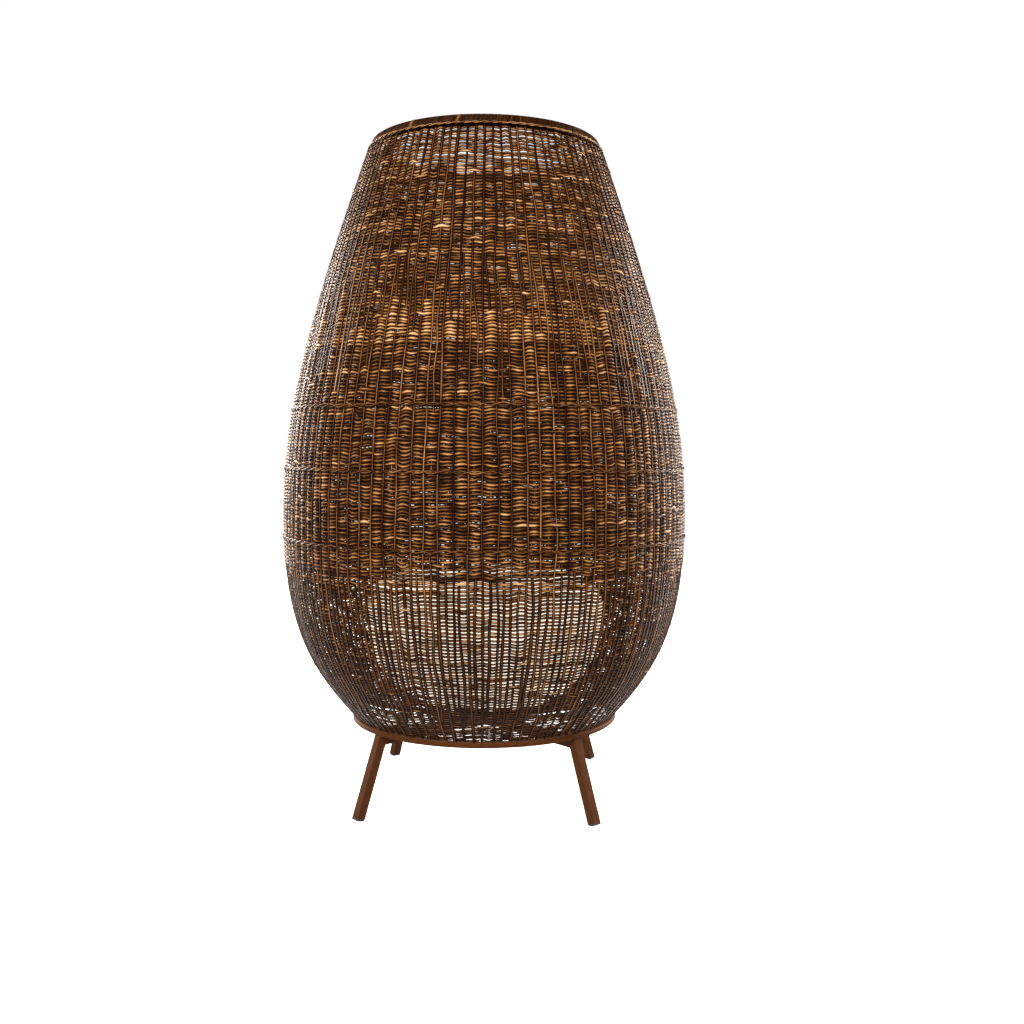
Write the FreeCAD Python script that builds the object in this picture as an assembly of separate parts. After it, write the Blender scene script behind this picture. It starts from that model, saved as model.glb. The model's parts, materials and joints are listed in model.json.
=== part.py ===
import FreeCAD, Part
import math
import os

from FreeCAD import Vector

# Woven floor lantern: an egg-shaped wicker shade on four splayed legs, with an opal
# diffuser inside. Millimetres, +Z up, origin on the floor under the lantern's axis.
# The shade lifts off the leg frame, the diffuser turns in a bayonet and the bulb unscrews.

# ---- Driving dimensions ----
OVERALL_HEIGHT = 920.0
BODY_RADIUS = 285.5          # widest part of the weave
RING_RADIUS = 190.0          # outside of the base ring
RING_BOTTOM = 109.0          # underside of the base ring, and top of the leg frame
RING_HEIGHT = 7.0
RING_WIDTH = 12.0
RING_CORNER = 1.5
FOOT_RADIUS = 222.0          # leg centre line on the floor
LEG_SIZE = 13.0              # square tube, legs and cross
TUBE_WALL = 1.5
TUBE_CORNER = 1.2            # outside corner radius of the tube
BORE_CORNER = 0.4            # inside corner radius of the tube
SPARE = 1.0                  # how far a cutting tool runs past what it cuts

# ---- Weave and its frame ----
SHELL_THICKNESS = 6.0
SHELL_BOTTOM = RING_BOTTOM + RING_HEIGHT
RIM_WIDTH = 11.0
RIM_HEIGHT = 16.0
RIM_LEAN = 20.0              # degrees that the border leans in, like the weave under it
RIM_TOP_RADIUS = 156.5       # middle of the border's section
RIM_CORNER = 4.5
HOOP_ROD = 6.0
BRAID_ROD = 4.5
BRAID_SEAT = (0.5, 0.8)      # how far it stands in from the weave's edge and sinks below it
RIB_DEPTH = 5.0
RIB_THICKNESS = 4.0
RIB_COUNT = 8
SKIN_GAP = 0.3               # between the weave, the ribs and the hoops
HOOPS = {"lower": 150.0, "middle": 390.0, "upper": 650.0}

# Outside of the weave, from the base ring to the foot of the rolled border.
BODY_OUTLINE = (
    (RING_RADIUS - 1.0, SHELL_BOTTOM),
    (217.5, 150.0),
    (249.5, 200.0),
    (275.0, 272.0),
    (BODY_RADIUS, 385.0),
    (278.5, 505.0),
    (261.0, 602.0),
    (235.5, 700.0),
    (204.0, 800.0),
    (168.5, 903.0),
)

# ---- Leg frame ----
LEG_TOP_RADIUS = 183.0
LEG_ANGLES = {"front_right": -45.0, "rear_right": 45.0, "rear_left": 135.0, "front_left": -135.0}
PLUG_FLANGE = 3.0
PLUG_STEM = 14.0
FOOT_FLAT = 6.0              # width of the level facet that each plug stands on
HUB_RADIUS = 70.0
HUB_THICKNESS = 3.0
STUD_RADIUS = 2.5
STUD_LENGTH = 5.0
HUB_SCREW_CIRCLE = 35.0
HUB_SCREW_RADIUS = 2.0       # M4
HUB_SCREW_GRIP = 4.0         # how deep it goes into the tube
HUB_HEAD = (3.8, 2.5)        # radius and height of its head
SCREW_CLEARANCE = 0.1

# ---- Lamp base ----
HOUSING_RADIUS = 82.0
HOUSING_WALL = 4.0
HOUSING_FLOOR = 3.0
HOUSING_BOTTOM = RING_BOTTOM + HUB_THICKNESS
HOUSING_HEIGHT = 12.0
LIP_THICKNESS = 3.0
LIP_SET = 1.0                # under the top of the wall
BAYONET_RADIUS = 68.0
BAYONET_CLEARANCE = 0.3
LUG_DEPTH = 3.5
LUG_HEIGHT = 2.5
LUG_PLAY = 0.5               # under the lip
LUG_ANGLE = 20.0
GATE_ANGLE = 24.0            # width of the gates that the lugs drop through
LUG_COUNT = 3
UNLOCK_TURN = 25.0
GASKET_THICKNESS = 1.5
GASKET_RADII = (77.0, 73.0)
FLANGE_THICKNESS = 3.0
PLATE_THICKNESS = 2.0
PLATE_RISE = 1.0             # over the top of the housing's wall
PLATE_RADIUS = 60.0
PLATE_EYE = 7.0              # radius of the hole that the leads pass
BOSS_CIRCLE = 45.0
BOSS_RADIUS = 4.0
BOSS_ANGLES = (-90.0, 30.0, 150.0)
PLATE_SCREW_RADIUS = 1.4
PLATE_SCREW_LENGTH = 7.0
PLATE_HEAD = (2.8, 2.0)      # radius and height of its head
BLOCK_SIZE = (28.0, 14.0)    # terminal block, across and fore and aft
PORT_RADIUS = 1.8
PORT_SPACING = 9.0
LEAD_RADIUS = 1.1
LEAD_SPACING = 3.0
LEAD_Y = 4.0
LEAD_POCKET = 4.0            # depth of the hollow under the lamp holder

# ---- Diffuser ----
DIFFUSER_RADIUS = 170.0
DIFFUSER_TOP = 312.0
DIFFUSER_NECK = 62.0
DIFFUSER_FOOT = 78.0
DIFFUSER_SHOULDER = 46.0     # radius of the rounded upper edge
DIFFUSER_WALL = 3.0
DIFFUSER_BOWL = ((112.0, 18.0), (150.0, 53.0), (167.0, 100.0))   # radius, height over its foot

# ---- Lamp holder and bulb, E27 ----
HOLDER_RADIUS = 20.0
HOLDER_HEIGHT = 35.0
SLEEVE_BORE = 13.3
SLEEVE_WALL = 1.0
SLEEVE_REST = 2.0            # the sleeve starts this far over the bottom of its bore
SLEEVE_DROP = 3.0            # and ends this far under the holder's mouth
CONTACT_RISE = 7.0           # height of the contact over the holder's foot
CAP_RISE = 3.0               # height of the cap's foot over the contact's
CONTACT_SIZE = (6.0, 12.0, 1.4)
CAP_RADIUS = 13.0
CAP_WALL = 0.8
CAP_FLOOR = 2.0
CAP_LENGTH = 26.0
TIP_RADIUS = 4.5
BULB_RADIUS = 30.0
BULB_NECK_HEIGHT = 42.0
BULB_WAIST = 14.5            # radius where the bulb's body meets its cap
BULB_FLARE = ((2.5, 12.0), (13.5, 34.0))    # on its side: beyond the waist, height over the cap
BOARD_EDGE = 5.0             # from the board's rim to the dome's outside
DOME_WALL = 1.0
BOARD_THICKNESS = 1.6

# ---- Cable gland ----
GLAND_Y = 50.0
GLAND_BORE = 5.0
CABLE_RADIUS = 4.0
GLAND_THREAD = 8.0
GLAND_HEX = 9.5              # half the distance across the flats
GLAND_STEP = 6.0             # height of its flange, of its lower thread and of its seal
GLAND_FIT = 0.1              # between the gland's thread and the holes it passes
GLAND_LOWER = 7.5            # radius of its lower thread
GLAND_OVER = 5.0             # how far the upper thread stands over the housing's floor
SEAL_RADIUS = 7.4
NUT_BORE = 7.6
NUT_EYE = 4.6                # radius of the cable's hole in the nut
NUT_GAP = 0.5                # between the nut and the flange
NUT_CONE = (7.0, 3.0)        # end radius and height of the nut's cone
NUT_END = 5.0                # how far the nut reaches under the seal
LOCKNUT_HEX = 10.0           # half the distance across its flats
LOCKNUT_HEIGHT = 3.5

# ---- Heights worked out from the above ----
HOUSING_INSIDE = HOUSING_BOTTOM + HOUSING_FLOOR
HOUSING_TOP = HOUSING_BOTTOM + HOUSING_HEIGHT
LIP_TOP = HOUSING_TOP - LIP_SET
FLANGE_BOTTOM = LIP_TOP + GASKET_THICKNESS
DIFFUSER_BOTTOM = FLANGE_BOTTOM + FLANGE_THICKNESS
PLATE_BOTTOM = HOUSING_TOP + PLATE_RISE
PLATE_TOP = PLATE_BOTTOM + PLATE_THICKNESS
HOLDER_TOP = PLATE_TOP + HOLDER_HEIGHT
CONTACT_BOTTOM = PLATE_TOP + CONTACT_RISE
CAP_BOTTOM = CONTACT_BOTTOM + CAP_RISE
CROSS_BOTTOM = RING_BOTTOM - LEG_SIZE
SPLAY = math.degrees(math.atan((FOOT_RADIUS - LEG_TOP_RADIUS) / RING_BOTTOM))

Z_AXIS = Vector(0, 0, 1)
ORIGIN = Vector(0, 0, 0)
parts = {}


# ---- Helpers ----
def at_angle(shape, angle):
    """A copy turned about the lantern's axis."""
    copy = shape.copy()
    copy.rotate(ORIGIN, Z_AXIS, angle)
    return copy


def cylinder(radius, low, high, x=0.0, y=0.0):
    return Part.makeCylinder(radius, high - low, Vector(x, y, low))


def drill(radius, low, high, x=0.0, y=0.0):
    """A cylinder that runs a little past both ends, to cut a hole with."""
    return cylinder(radius, low - SPARE, high + SPARE, x, y)


def tube(outer, inner, low, high, x=0.0, y=0.0):
    return cylinder(outer, low, high, x, y).cut(drill(inner, low, high, x, y))


def hexagon(flat, low, high, x=0.0, y=0.0):
    """A hexagonal bar; flat is half the distance across its flats."""
    corner = flat / math.cos(math.radians(30))
    turns = [math.radians(60 * i) for i in range(7)]
    points = [Vector(x + corner * math.cos(t), y + corner * math.sin(t), low) for t in turns]
    return Part.Face(Part.makePolygon(points)).extrude(Vector(0, 0, high - low))


def socket_screw(radius, head_size, low, seat, x):
    """A screw from low up to its seat, with a hexagon socket in its head."""
    head_radius, head_height = head_size
    screw = cylinder(radius, low, seat, x).fuse(cylinder(head_radius, seat, seat + head_height, x))
    return screw.cut(hexagon(head_radius / 3, seat + head_height / 2, seat + head_height + SPARE, x))


def group(solids):
    """Identical separate solids that share one node."""
    return Part.makeCompound(solids)


def revolve(wire):
    return Part.Face(wire).revolve(ORIGIN, Z_AXIS, 360)


def rounded_section(width, height, corner, at_radius, at_height, lean=0.0):
    """A rounded rectangle in the XZ plane, its middle at the given radius and height."""
    box = Part.makeBox(width, 1, height, Vector(-width / 2, 0, -height / 2))
    edges = [e for e in box.Edges if abs(e.tangentAt(e.FirstParameter).y) > 0.9]
    face = [f for f in box.makeFillet(corner, edges).Faces if f.CenterOfMass.y < 1e-6][0]
    wire = face.OuterWire.copy()
    wire.rotate(ORIGIN, Vector(0, 1, 0), -lean)
    wire.translate(Vector(at_radius, 0, at_height))
    return wire


def outline_curve():
    """The outside of the weave as one smooth curve in the XZ plane."""
    curve = Part.BSplineCurve()
    curve.interpolate([Vector(r, 0, z) for r, z in BODY_OUTLINE])
    return curve


def inset_point(curve, height, inset):
    """The point that lies inset under the weave's outside at the given height."""
    low, high = curve.FirstParameter, curve.LastParameter
    for _ in range(40):
        middle = (low + high) / 2
        if curve.value(middle).z < height:
            low = middle
        else:
            high = middle
    tangent = curve.tangent(low)[0]
    return curve.value(low) + Vector(-tangent.z, 0, tangent.x) * inset


def inset_curve(outline, inset):
    """The weave's outline moved inwards, cut level at its ends."""
    heights = [z for _, z in BODY_OUTLINE]
    points = [inset_point(outline, z, inset) for z in heights]
    points[0].z = heights[0]
    points[-1].z = heights[-1]
    curve = Part.BSplineCurve()
    curve.interpolate(points)
    return curve


def band_wire(outline, near, far):
    """A closed strip that follows the weave between two depths under its outside."""
    outer = inset_curve(outline, near) if near else outline
    inner = inset_curve(outline, far)
    bottom = Part.LineSegment(inner.StartPoint, outer.StartPoint)
    top = Part.LineSegment(outer.EndPoint, inner.EndPoint)
    return Part.Wire([bottom.toShape(), outer.toShape(), top.toShape(), inner.toShape()])


# ---- Shade ----
def make_shade():
    outline = outline_curve()
    parts["woven_shell"] = revolve(band_wire(outline, 0, SHELL_THICKNESS))

    rib_near = SHELL_THICKNESS + SKIN_GAP
    rib = Part.Face(band_wire(outline, rib_near, rib_near + RIB_DEPTH))
    rib = rib.extrude(Vector(0, RIB_THICKNESS, 0))
    rib.translate(Vector(0, -RIB_THICKNESS / 2, 0))
    for i in range(RIB_COUNT):
        parts[f"frame_rib_{i + 1}"] = at_angle(rib, i * 360 / RIB_COUNT)

    hoop_inset = rib_near + RIB_DEPTH + SKIN_GAP + HOOP_ROD / 2
    for name, height in HOOPS.items():
        centre = inset_point(outline, height, hoop_inset)
        hoop = Part.makeTorus(centre.x, HOOP_ROD / 2, Vector(0, 0, centre.z))
        parts[f"frame_hoop_{name}"] = hoop

    ring_middle = RING_RADIUS - RING_WIDTH / 2
    ring_z = RING_BOTTOM + RING_HEIGHT / 2
    parts["base_ring"] = revolve(rounded_section(RING_WIDTH, RING_HEIGHT, RING_CORNER, ring_middle, ring_z))
    stud = cylinder(STUD_RADIUS, RING_BOTTOM - STUD_LENGTH, RING_BOTTOM, LEG_TOP_RADIUS)
    stud = stud.makeChamfer(1.0, [stud.Edges[2]])
    parts["locating_studs"] = group([at_angle(stud, a) for a in LEG_ANGLES.values()])


def make_rim():
    """The rolled border over its hoop, and the twisted strand under it."""
    section = rounded_section(RIM_WIDTH, RIM_HEIGHT, RIM_CORNER, RIM_TOP_RADIUS, 0, RIM_LEAN)
    drop = OVERALL_HEIGHT - section.BoundBox.ZMax
    section.translate(Vector(0, 0, drop))
    border = revolve(section)
    channel = Part.makeTorus(RIM_TOP_RADIUS, HOOP_ROD / 2 + SKIN_GAP, Vector(0, 0, drop))
    parts["rim_border"] = border.cut(channel)
    parts["top_hoop"] = Part.makeTorus(RIM_TOP_RADIUS, HOOP_ROD / 2, Vector(0, 0, drop))
    edge_radius, edge_height = BODY_OUTLINE[-1]
    braid_radius = edge_radius - BRAID_ROD / 2 - BRAID_SEAT[0]
    braid_height = edge_height + BRAID_ROD / 2 - BRAID_SEAT[1]
    braid = Part.makeTorus(braid_radius, BRAID_ROD / 2, Vector(0, 0, braid_height))
    parts["trim_braid"] = braid.cut(border).cut(parts["woven_shell"])


# ---- Leg frame ----
def square_bar(size, length, corner):
    """A square bar about +Z, its top end at the origin, with rounded corners."""
    bar = Part.makeBox(size, size, length, Vector(-size / 2, -size / 2, -length))
    edges = [e for e in bar.Edges if abs(e.tangentAt(e.FirstParameter).z) > 0.9]
    return bar.makeFillet(corner, edges)


def lean_out(shape):
    """Tilts a bar that hangs from the origin to the legs' splay, under the ring at +X."""
    copy = shape.copy()
    copy.rotate(ORIGIN, Vector(0, 1, 0), -SPLAY)
    copy.translate(Vector(LEG_TOP_RADIUS, 0, RING_BOTTOM))
    return copy


def make_legs():
    lean = math.radians(SPLAY)
    # The corner at the inside of a square-cut end lies lower than its middle by half the
    # width times the sine. The level facet takes away the last of that corner.
    corner_drop = LEG_SIZE / 2 * math.sin(lean)
    facet_depth = FOOT_FLAT / (math.tan(lean) + 1 / math.tan(lean))
    end = (RING_BOTTOM + facet_depth - corner_drop) / math.cos(lean)
    tube_end = end - PLUG_FLANGE
    inner_size = LEG_SIZE - 2 * TUBE_WALL
    overrun = LEG_SIZE

    block = 4 * LEG_SIZE
    above = Part.makeBox(block, block, block, Vector(LEG_TOP_RADIUS - block / 2, -block / 2, RING_BOTTOM))
    below = Part.makeBox(block, block, block, Vector(FOOT_RADIUS - block / 2, -block / 2, -block))

    outer = square_bar(LEG_SIZE, tube_end + overrun, TUBE_CORNER)
    inner = square_bar(inner_size, tube_end + overrun + SPARE, BORE_CORNER)
    for bar in (outer, inner):
        bar.translate(Vector(0, 0, overrun))
    leg = lean_out(outer.cut(inner)).cut(above)

    flange = square_bar(LEG_SIZE, PLUG_FLANGE, TUBE_CORNER)
    flange.translate(Vector(0, 0, -tube_end))
    stem = square_bar(inner_size - 2 * SCREW_CLEARANCE, PLUG_STEM, BORE_CORNER)
    stem.translate(Vector(0, 0, PLUG_STEM - tube_end))
    plug = lean_out(flange.fuse(stem).removeSplitter()).cut(below)

    for corner, angle in LEG_ANGLES.items():
        parts[f"leg_{corner}"] = at_angle(leg, angle)
        parts[f"foot_plug_{corner}"] = at_angle(plug, angle)
    return lean_out(outer)


def cross_tube(start, end):
    """A square tube along +X under the ring's level."""
    length = end - start
    low = Vector(start, -LEG_SIZE / 2, CROSS_BOTTOM)
    bar = Part.makeBox(length, LEG_SIZE, LEG_SIZE, low)
    edges = [e for e in bar.Edges if abs(e.tangentAt(e.FirstParameter).x) > 0.9]
    bar = bar.makeFillet(TUBE_CORNER, edges)
    bore = LEG_SIZE - 2 * TUBE_WALL
    corner = Vector(start - SPARE, -bore / 2, CROSS_BOTTOM + TUBE_WALL)
    return bar.cut(Part.makeBox(length + 2 * SPARE, bore, bore, corner))


def make_cross(leg_envelope):
    """One tube runs right across; two halves butt against it. The hub plate ties them."""
    reach = LEG_TOP_RADIUS
    hole_radius = HUB_SCREW_RADIUS + SCREW_CLEARANCE
    hole = drill(hole_radius, CROSS_BOTTOM + LEG_SIZE / 2, RING_BOTTOM, HUB_SCREW_CIRCLE)
    holes = [at_angle(hole, 90 * i) for i in range(4)]
    envelopes = [at_angle(leg_envelope, 90 * i) for i in range(4)]

    through = cross_tube(-reach, reach).cut(holes + envelopes)
    half = cross_tube(LEG_SIZE / 2, reach).cut(holes + envelopes)
    parts["cross_tube_through"] = at_angle(through, LEG_ANGLES["front_right"])
    parts["cross_tube_right"] = at_angle(half, LEG_ANGLES["rear_right"])
    parts["cross_tube_left"] = at_angle(half, LEG_ANGLES["front_left"])

    plate = cylinder(HUB_RADIUS, RING_BOTTOM, HOUSING_BOTTOM)
    hole = drill(hole_radius, RING_BOTTOM, HOUSING_BOTTOM, HUB_SCREW_CIRCLE)
    plate_holes = [at_angle(hole, a) for a in LEG_ANGLES.values()]
    gland_hole = drill(GLAND_THREAD + GLAND_FIT, RING_BOTTOM, HOUSING_BOTTOM, 0, GLAND_Y)
    parts["hub_plate"] = plate.cut(plate_holes + [gland_hole])

    screw_low = RING_BOTTOM - HUB_SCREW_GRIP
    screw = socket_screw(HUB_SCREW_RADIUS, HUB_HEAD, screw_low, HOUSING_INSIDE, HUB_SCREW_CIRCLE)
    parts["hub_screws"] = group([at_angle(screw, a) for a in LEG_ANGLES.values()])


# ---- Lamp base ----
def sector_ring(outer, inner, low, high, middle, span):
    """Part of a flat ring, span degrees wide about the angle middle."""
    solid = Part.makeCylinder(outer, high - low, Vector(0, 0, low), Z_AXIS, span)
    solid = solid.cut(drill(inner, low, high))
    return at_angle(solid, middle - span / 2)


def make_housing():
    body = tube(HOUSING_RADIUS, HOUSING_RADIUS - HOUSING_WALL, HOUSING_INSIDE, HOUSING_TOP)
    body = body.fuse(cylinder(HOUSING_RADIUS, HOUSING_BOTTOM, HOUSING_INSIDE))
    lip_hole = BAYONET_RADIUS + BAYONET_CLEARANCE
    lip_bottom = LIP_TOP - LIP_THICKNESS
    lip_root = HOUSING_RADIUS - HOUSING_WALL / 4
    body = body.fuse(tube(lip_root, lip_hole, lip_bottom, LIP_TOP))
    gate_radius = BAYONET_RADIUS + LUG_DEPTH + BAYONET_CLEARANCE
    cuts = []
    for i in range(LUG_COUNT):
        angle = 90 + UNLOCK_TURN + i * 360 / LUG_COUNT
        low, high = lip_bottom - SPARE, LIP_TOP + SPARE
        cuts.append(sector_ring(gate_radius, lip_hole - SPARE, low, high, angle, GATE_ANGLE))
    screw_radius = HUB_SCREW_RADIUS + SCREW_CLEARANCE
    screw_hole = drill(screw_radius, HOUSING_BOTTOM, HOUSING_INSIDE, HUB_SCREW_CIRCLE)
    cuts += [at_angle(screw_hole, a) for a in LEG_ANGLES.values()]
    cuts.append(drill(GLAND_THREAD + GLAND_FIT, HOUSING_BOTTOM, HOUSING_INSIDE, 0, GLAND_Y))
    boss_hole = PLATE_SCREW_RADIUS + SCREW_CLEARANCE
    boss = tube(BOSS_RADIUS, boss_hole, HOUSING_INSIDE, PLATE_BOTTOM, BOSS_CIRCLE)
    bosses = [at_angle(boss, a) for a in BOSS_ANGLES]
    parts["base_housing"] = body.cut(cuts).fuse(bosses).removeSplitter()

    parts["housing_gasket"] = tube(*GASKET_RADII, LIP_TOP, FLANGE_BOTTOM)


def make_holder():
    plate = cylinder(PLATE_RADIUS, PLATE_BOTTOM, PLATE_TOP)
    plate = plate.cut(drill(PLATE_EYE, PLATE_BOTTOM, PLATE_TOP))
    hole = drill(PLATE_SCREW_RADIUS + SCREW_CLEARANCE, PLATE_BOTTOM, PLATE_TOP, BOSS_CIRCLE)
    screw_low = PLATE_BOTTOM - PLATE_SCREW_LENGTH
    screw = socket_screw(PLATE_SCREW_RADIUS, PLATE_HEAD, screw_low, PLATE_TOP, BOSS_CIRCLE)
    parts["holder_plate"] = plate.cut([at_angle(hole, a) for a in BOSS_ANGLES])
    parts["plate_screws"] = group([at_angle(screw, a) for a in BOSS_ANGLES])

    width, depth = BLOCK_SIZE
    block_height = PLATE_BOTTOM - HOUSING_INSIDE - SPARE / 2
    block = Part.makeBox(width, depth, block_height, Vector(-width / 2, LEAD_Y - depth / 2, HOUSING_INSIDE))
    ports = []
    for x in (-PORT_SPACING, 0, PORT_SPACING):
        start = Vector(x, LEAD_Y - depth, HOUSING_INSIDE + block_height / 2)
        ports.append(Part.makeCylinder(PORT_RADIUS, 2 * depth, start, Vector(0, 1, 0)))
    parts["terminal_block"] = block.cut(ports)

    bore = SLEEVE_BORE + SLEEVE_WALL
    lead_top = PLATE_TOP + LEAD_POCKET
    body = cylinder(HOLDER_RADIUS, PLATE_TOP, HOLDER_TOP)
    body = body.cut(cylinder(bore, CONTACT_BOTTOM, HOLDER_TOP + SPARE))
    parts["lamp_holder"] = body.cut(cylinder(PLATE_EYE, PLATE_TOP - SPARE, lead_top))
    sleeve_low = CONTACT_BOTTOM + SLEEVE_REST
    parts["holder_sleeve"] = tube(bore, SLEEVE_BORE, sleeve_low, HOLDER_TOP - SLEEVE_DROP)
    contact_low = Vector(-CONTACT_SIZE[0] / 2, -CONTACT_SIZE[1] / 2, CONTACT_BOTTOM)
    parts["centre_contact"] = Part.makeBox(*CONTACT_SIZE, contact_low)
    lead_low = block.BoundBox.ZMax
    leads = [cylinder(LEAD_RADIUS, lead_low, lead_top, s * LEAD_SPACING, LEAD_Y) for s in (-1, 1)]
    parts["holder_leads"] = group(leads)


def make_bulb():
    cap_top = CAP_BOTTOM + CAP_LENGTH
    cap = cylinder(CAP_RADIUS, CAP_BOTTOM, cap_top)
    cap = cap.cut(cylinder(CAP_RADIUS - CAP_WALL, CAP_BOTTOM + CAP_FLOOR, cap_top + SPARE))
    tip = cylinder(TIP_RADIUS, CONTACT_BOTTOM + CONTACT_SIZE[2] + SCREW_CLEARANCE, CAP_BOTTOM)
    parts["bulb_cap"] = cap.fuse(tip).removeSplitter()

    waist = BULB_WAIST
    dome_base = cap_top + BULB_NECK_HEIGHT
    # The body flares from the cap out to the dome in a long S.
    points = [Vector(waist, 0, cap_top)]
    points += [Vector(waist + r, 0, cap_top + z) for r, z in BULB_FLARE]
    points.append(Vector(BULB_RADIUS, 0, dome_base))
    side = Part.BSplineCurve()
    side.interpolate(points)
    top = Part.LineSegment(Vector(BULB_RADIUS, 0, dome_base), Vector(0, 0, dome_base))
    axis = Part.LineSegment(Vector(0, 0, dome_base), Vector(0, 0, cap_top))
    foot = Part.LineSegment(Vector(0, 0, cap_top), Vector(waist, 0, cap_top))
    wire = Part.Wire([side.toShape(), top.toShape(), axis.toShape(), foot.toShape()])
    parts["bulb_heatsink"] = revolve(wire)

    base = Vector(0, 0, dome_base)
    outer = Part.makeSphere(BULB_RADIUS, base, Z_AXIS, 0, 90, 360)
    inner = Part.makeSphere(BULB_RADIUS - DOME_WALL, base, Z_AXIS, 0, 90, 360)
    parts["bulb_dome"] = outer.cut(inner)
    parts["led_board"] = cylinder(BULB_RADIUS - BOARD_EDGE, dome_base, dome_base + BOARD_THICKNESS)


# ---- Diffuser ----
def diffuser_solid(inset):
    """The opal body, or with an inset the space inside it."""
    radius = DIFFUSER_RADIUS - inset
    shoulder = DIFFUSER_SHOULDER - inset
    top = DIFFUSER_TOP - inset
    foot = DIFFUSER_BOTTOM + inset
    side_top = top - shoulder
    diagonal = shoulder * math.cos(math.radians(45))
    arc_mid = Vector(radius - shoulder + diagonal, 0, side_top + diagonal)
    arc = Part.Arc(Vector(radius, 0, side_top), arc_mid, Vector(radius - shoulder, 0, top))
    lower = Part.BSplineCurve()
    points = [Vector(DIFFUSER_FOOT - inset, 0, foot)]
    points += [Vector(r - inset, 0, foot + z) for r, z in DIFFUSER_BOWL]
    points.append(Vector(radius, 0, side_top))
    lower.interpolate(Points=points, InitialTangent=Vector(1, 0, 0.35), FinalTangent=Vector(0, 0, 1))
    lid = Part.LineSegment(Vector(radius - shoulder, 0, top), Vector(0, 0, top))
    axis = Part.LineSegment(Vector(0, 0, top), Vector(0, 0, foot))
    floor = Part.LineSegment(Vector(0, 0, foot), points[0])
    wire = Part.Wire([e.toShape() for e in (lower, arc, lid, axis, floor)])
    return revolve(wire)


def make_diffuser():
    neck = drill(DIFFUSER_NECK, DIFFUSER_BOTTOM, DIFFUSER_BOTTOM + DIFFUSER_WALL)
    parts["diffuser"] = diffuser_solid(0).cut(diffuser_solid(DIFFUSER_WALL)).cut(neck)

    lug_top = LIP_TOP - LIP_THICKNESS - LUG_PLAY
    lug_bottom = lug_top - LUG_HEIGHT
    collar = tube(DIFFUSER_FOOT, DIFFUSER_NECK, FLANGE_BOTTOM, DIFFUSER_BOTTOM)
    collar = collar.fuse(tube(BAYONET_RADIUS, DIFFUSER_NECK, lug_bottom, FLANGE_BOTTOM))
    lugs = []
    for i in range(LUG_COUNT):
        angle = 90 + i * 360 / LUG_COUNT
        outer = BAYONET_RADIUS + LUG_DEPTH
        lugs.append(sector_ring(outer, BAYONET_RADIUS - SPARE, lug_bottom, lug_top, angle, LUG_ANGLE))
    parts["bayonet_collar"] = collar.fuse(lugs).removeSplitter()


# ---- Cable gland ----
def make_gland():
    """The cable's way in, under the hub plate towards the rear. Its nut clamps the seal."""
    flange_low = RING_BOTTOM - GLAND_STEP
    thread_low = flange_low - GLAND_STEP
    seal_low = thread_low - GLAND_STEP
    nut_low = seal_low - NUT_END
    thread_top = HOUSING_INSIDE + GLAND_OVER
    body = hexagon(GLAND_HEX, flange_low, RING_BOTTOM, 0, GLAND_Y)
    body = body.fuse(cylinder(GLAND_THREAD, RING_BOTTOM, thread_top, 0, GLAND_Y))
    body = body.fuse(cylinder(GLAND_LOWER, thread_low, flange_low, 0, GLAND_Y))
    bore = drill(GLAND_BORE, thread_low, thread_top, 0, GLAND_Y)
    parts["cable_gland"] = body.cut(bore).removeSplitter()

    cone_radius, cone_height = NUT_CONE
    nut = hexagon(GLAND_HEX, nut_low + cone_height, flange_low - NUT_GAP, 0, GLAND_Y)
    cone = Part.makeCone(cone_radius, GLAND_HEX, cone_height, Vector(0, GLAND_Y, nut_low))
    nut = nut.fuse(cone).cut(cylinder(NUT_BORE, seal_low, RING_BOTTOM, 0, GLAND_Y))
    parts["gland_nut"] = nut.cut(drill(NUT_EYE, nut_low, seal_low, 0, GLAND_Y))
    parts["gland_seal"] = tube(SEAL_RADIUS, CABLE_RADIUS, seal_low, thread_low, 0, GLAND_Y)

    nut_top = HOUSING_INSIDE + LOCKNUT_HEIGHT
    locknut = hexagon(LOCKNUT_HEX, HOUSING_INSIDE, nut_top, 0, GLAND_Y)
    hole = drill(GLAND_THREAD + GLAND_FIT / 2, HOUSING_INSIDE, nut_top, 0, GLAND_Y)
    parts["gland_locknut"] = locknut.cut(hole)


make_shade()
make_rim()
make_cross(make_legs())
make_housing()
make_holder()
make_bulb()
make_diffuser()
make_gland()

os.makedirs("parts", exist_ok=True)
for node, shape in parts.items():
    if not shape.isValid():
        raise ValueError(f"{node} is not a valid shape")
    shape.exportStep(f"parts/{node}.step")
    box = shape.BoundBox
    print(f"{node:24s} solids {len(shape.Solids):2d}  volume {shape.Volume / 1000:9.2f} cm3"
          f"  z {box.ZMin:7.2f} to {box.ZMax:7.2f}  x to {box.XMax:7.2f}")
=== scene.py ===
import json
import math

import bpy
import numpy as np
from mathutils import Matrix, Vector


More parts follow.
